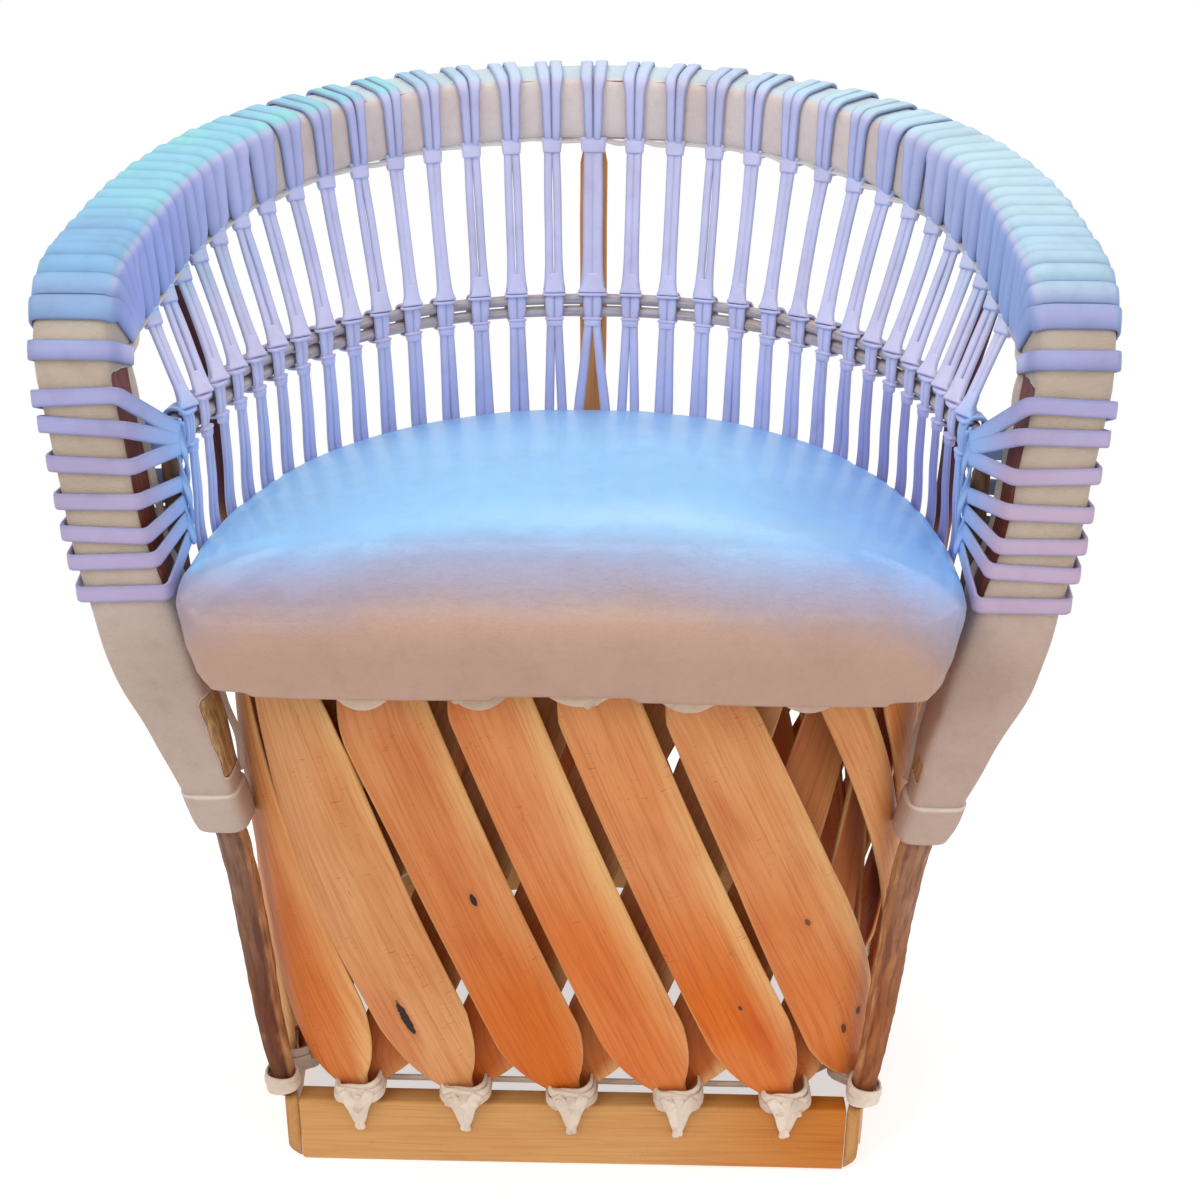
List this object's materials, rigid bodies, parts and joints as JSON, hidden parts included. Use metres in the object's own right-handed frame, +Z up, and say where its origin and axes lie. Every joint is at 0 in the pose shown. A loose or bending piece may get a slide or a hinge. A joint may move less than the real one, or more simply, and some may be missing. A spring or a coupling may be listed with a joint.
{
  "type": "equipale chair",
  "caption": "Barrel armchair with a drum of crossed split slats, a padded leather seat and a hide-wrapped horseshoe rail laced to canes and seat.",
  "frame": {"origin": "centre of the bounding box in plan, on the floor that the base stands on", "axes": "+Z up; the chair faces -Y; +X is on the right of someone facing the chair"},
  "size_m": [0.6718, 0.5604, 0.7743],
  "materials": {
    "slat_wood": "oiled cedar heartwood",
    "inner_slat_wood": "oiled cedar, in shade",
    "base_wood": "planed, satin",
    "bark_wood": "bark left on, split face orange",
    "split_wood": "split, unplaned",
    "panel_wood": "plain",
    "cane": "peeled, matt",
    "hide": "pigskin, natural, satin",
    "seat_leather": "pigskin, smooth, soft sheen",
    "lace": "pigskin lace, smooth",
    "rawhide": "rawhide, dry"
  },
  "bodies": {
    "root": {"base_front_board": "base_wood", "base_bent_strip": "base_wood", "seat_ring": "split_wood", "outer_slat_01": "slat_wood", "outer_slat_02": "slat_wood", "outer_slat_03": "slat_wood", "outer_slat_04": "slat_wood", "outer_slat_05": "slat_wood", "outer_slat_06": "slat_wood", "outer_slat_07": "slat_wood", "outer_slat_08": "slat_wood", "outer_slat_09": "slat_wood", "outer_slat_10": "slat_wood", "outer_slat_11": "slat_wood", "outer_slat_12": "slat_wood", "outer_slat_13": "slat_wood", "outer_slat_14": "slat_wood", "outer_slat_15": "slat_wood", "outer_slat_16": "slat_wood", "outer_slat_17": "slat_wood", "outer_slat_18": "slat_wood", "inner_slat_01": "inner_slat_wood", "inner_slat_02": "inner_slat_wood", "inner_slat_03": "inner_slat_wood", "inner_slat_04": "inner_slat_wood", "inner_slat_05": "inner_slat_wood", "inner_slat_06": "inner_slat_wood", "inner_slat_07": "inner_slat_wood", "inner_slat_08": "inner_slat_wood", "inner_slat_09": "inner_slat_wood", "inner_slat_10": "inner_slat_wood", "inner_slat_11": "inner_slat_wood", "inner_slat_12": "inner_slat_wood", "inner_slat_13": "inner_slat_wood", "inner_slat_14": "inner_slat_wood", "inner_slat_15": "inner_slat_wood", "inner_slat_16": "inner_slat_wood", "inner_slat_17": "inner_slat_wood", "inner_slat_18": "inner_slat_wood", "foot_lashing": "rawhide", "head_lashing": "rawhide", "front_leg_left": "bark_wood", "front_leg_right": "bark_wood", "rail_core": "split_wood", "rail_hide": "hide", "hide_wrap_left": "hide", "hide_wrap_right": "hide", "seat_panel": "panel_wood", "seat_pad": "seat_leather", "cane_upper": "cane", "cane_lower": "cane", "back_post_centre": "split_wood", "back_post_left": "bark_wood", "back_post_right": "bark_wood", "side_stick_left": "bark_wood", "side_stick_right": "bark_wood", "back_straps_left": "lace", "back_straps_right": "lace", "arm_straps_left": "lace", "arm_straps_right": "lace"}
  },
  "joints": []
}
